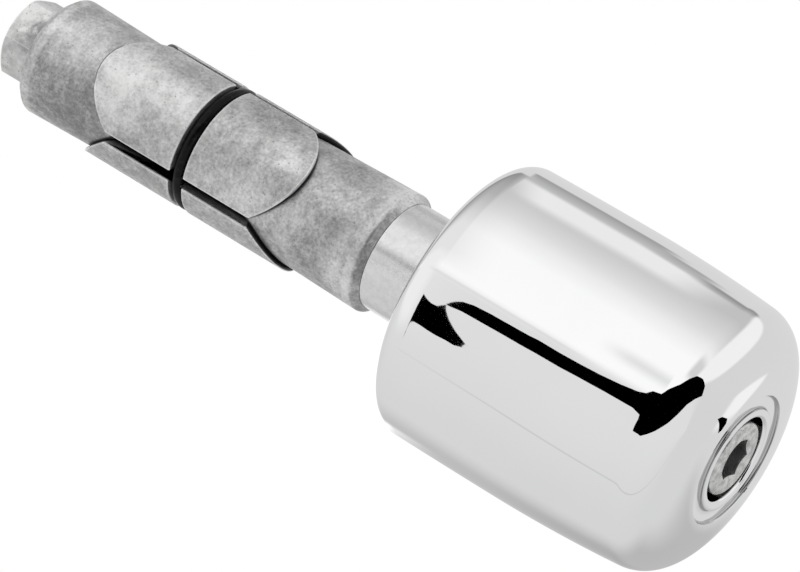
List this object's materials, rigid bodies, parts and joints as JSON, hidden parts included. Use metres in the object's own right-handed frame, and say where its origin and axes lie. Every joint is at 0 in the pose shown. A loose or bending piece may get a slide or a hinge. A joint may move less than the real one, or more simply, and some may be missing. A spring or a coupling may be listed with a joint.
{
  "type": "bar end weight",
  "caption": "Chromed barrel weight on an expanding wedge anchor that clamps inside a tubular handlebar end when its central cap screw is turned.",
  "frame": {"origin": "centre of the weight's flat outer face, which the part stands on", "axes": "+Z along the part's axis, from the outer face towards the nut; the first shoe is centred on -Y"},
  "size_m": [0.038, 0.038, 0.1125],
  "materials": {
    "weight_chrome": "mirror polished chrome plate",
    "screw_plating": "bright plated, slightly satin",
    "spacer_aluminium": "fine turned",
    "wedge_casting": "as die-cast and tumbled, mottled",
    "shoe_casting": "as die-cast and tumbled, mottled",
    "ring_rubber": "black rubber, low gloss",
    "nut_plating": "pale plated, lightly speckled"
  },
  "bodies": {
    "weight_and_near_wedge": {"weight": "weight_chrome", "spacer": "spacer_aluminium", "near_wedge": "wedge_casting"},
    "screw": {"clamp_screw": "screw_plating"},
    "far_wedge_and_nut": {"far_wedge": "wedge_casting", "hex_nut": "nut_plating"},
    "shoe_1": {"expander_shoe_1": "shoe_casting"},
    "shoe_2": {"expander_shoe_2": "shoe_casting"},
    "shoe_3": {"expander_shoe_3": "shoe_casting"},
    "ring": {"o_ring": "ring_rubber"}
  },
  "joints": [
    {"name": "screw_turn", "type": "hinge", "parent": "weight_and_near_wedge", "child": "screw", "pos_m": [0, 0, 0.0061], "axis": [0, 0, 1], "range_deg": [0, 720]},
    {"name": "far_wedge_draw", "type": "slide", "parent": "weight_and_near_wedge", "child": "far_wedge_and_nut", "axis": [0, 0, -1], "range_m": [0, 0.002]},
    {"name": "shoe_1_spread", "type": "slide", "parent": "weight_and_near_wedge", "child": "shoe_1", "axis": [0, -0.6157, -0.788], "range_m": [0, 0.00127]},
    {"name": "shoe_2_spread", "type": "slide", "parent": "weight_and_near_wedge", "child": "shoe_2", "axis": [0.5332, 0.3078, -0.788], "range_m": [0, 0.00127]},
    {"name": "shoe_3_spread", "type": "slide", "parent": "weight_and_near_wedge", "child": "shoe_3", "axis": [-0.5332, 0.3078, -0.788], "range_m": [0, 0.00127]},
    {"name": "ring_follow", "type": "slide", "parent": "weight_and_near_wedge", "child": "ring", "axis": [0, 0, -1], "range_m": [0, 0.001], "deforming": ["o_ring"]}
  ],
  "couplings": [
    {"joint": "far_wedge_draw", "follows": "screw_turn", "m_per_rad": 0.00015915},
    {"joint": "shoe_1_spread", "follows": "screw_turn", "m_per_rad": 0.00010099},
    {"joint": "shoe_2_spread", "follows": "screw_turn", "m_per_rad": 0.00010099},
    {"joint": "shoe_3_spread", "follows": "screw_turn", "m_per_rad": 0.00010099},
    {"joint": "ring_follow", "follows": "screw_turn", "m_per_rad": 0.000079577}
  ]
}
